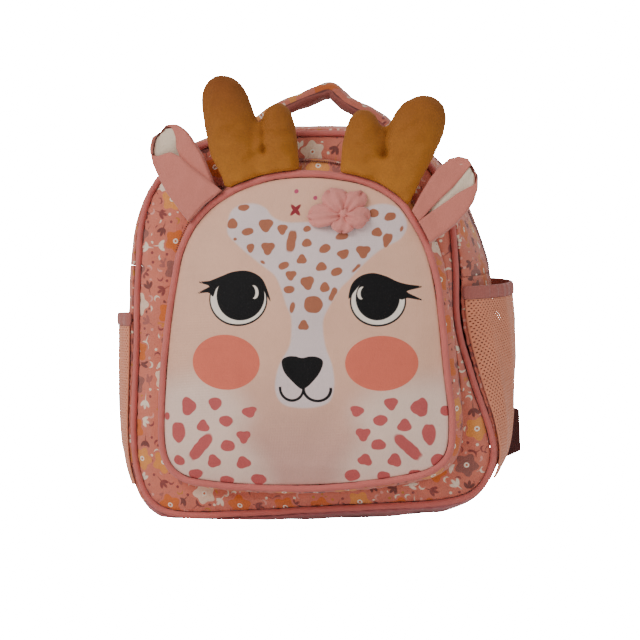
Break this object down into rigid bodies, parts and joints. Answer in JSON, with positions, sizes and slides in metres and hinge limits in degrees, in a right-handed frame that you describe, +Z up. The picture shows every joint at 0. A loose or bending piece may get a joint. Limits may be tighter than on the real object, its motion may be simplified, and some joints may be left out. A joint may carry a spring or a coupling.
{
  "type": "kids animal backpack",
  "caption": "Small upright backpack whose front pocket is a fawn's face, with stuffed antlers, folded ears, piped seams, mesh side pockets, a carry handle and padded straps.",
  "frame": {"origin": "the middle of the flat patch on the bottom on which the bag stands", "axes": "+Z up, +X to the right seen from the front, the fawn's face looks along -Y"},
  "size_m": [0.3228, 0.1986, 0.3447],
  "materials": {
    "floral_print": "plain-weave polyester, salmon ground with an all-over small floral print",
    "back_cloth": "plain pink polyester over foam",
    "zip_tape": "woven tape with a nylon coil",
    "zip_plastic": "moulded pull",
    "piping": "bias-cut cloth round a cord",
    "face_print": "smooth printed polyester",
    "mustard_felt": "short-napped brushed cloth, stuffed",
    "ear_cloth": "brushed cloth",
    "cream_lining": "brushed cloth",
    "flower_cloth": "soft gathered cloth",
    "handle_cloth": "printed cloth over padding",
    "peach_mesh": "open knitted mesh",
    "binding": "elastic binding tape",
    "strap_cloth": "plain pink polyester over foam",
    "webbing": "dark maroon woven webbing",
    "lock_plastic": "moulded dark plastic"
  },
  "bodies": {
    "root": {"front_panel": "floral_print", "back_panel": "back_cloth", "gusset_base": "floral_print", "gusset_top_front": "floral_print", "gusset_top_back": "floral_print", "main_zip": "zip_tape", "zip_slider": "zip_plastic", "piping_front": "piping", "piping_back": "piping", "piping_pocket": "piping", "pocket_face": "face_print", "pocket_gusset": "floral_print", "pocket_zip": "zip_tape", "antler_left": "mustard_felt", "antler_right": "mustard_felt", "ear_left": "ear_cloth", "ear_right": "ear_cloth", "ear_lining_left": "cream_lining", "ear_lining_right": "cream_lining", "flower_petal_1": "flower_cloth", "flower_petal_2": "flower_cloth", "flower_petal_3": "flower_cloth", "flower_petal_4": "flower_cloth", "flower_petal_5": "flower_cloth", "flower_centre": "flower_cloth", "carry_handle": "handle_cloth", "mesh_pocket_left": "peach_mesh", "mesh_pocket_right": "peach_mesh", "mesh_binding_left": "binding", "mesh_binding_right": "binding", "strap_left": "strap_cloth", "strap_right": "strap_cloth", "webbing_left": "webbing", "webbing_right": "webbing", "ladder_lock_left": "lock_plastic", "ladder_lock_right": "lock_plastic", "wing_tab_left": "webbing", "wing_tab_right": "webbing"}
  },
  "joints": []
}
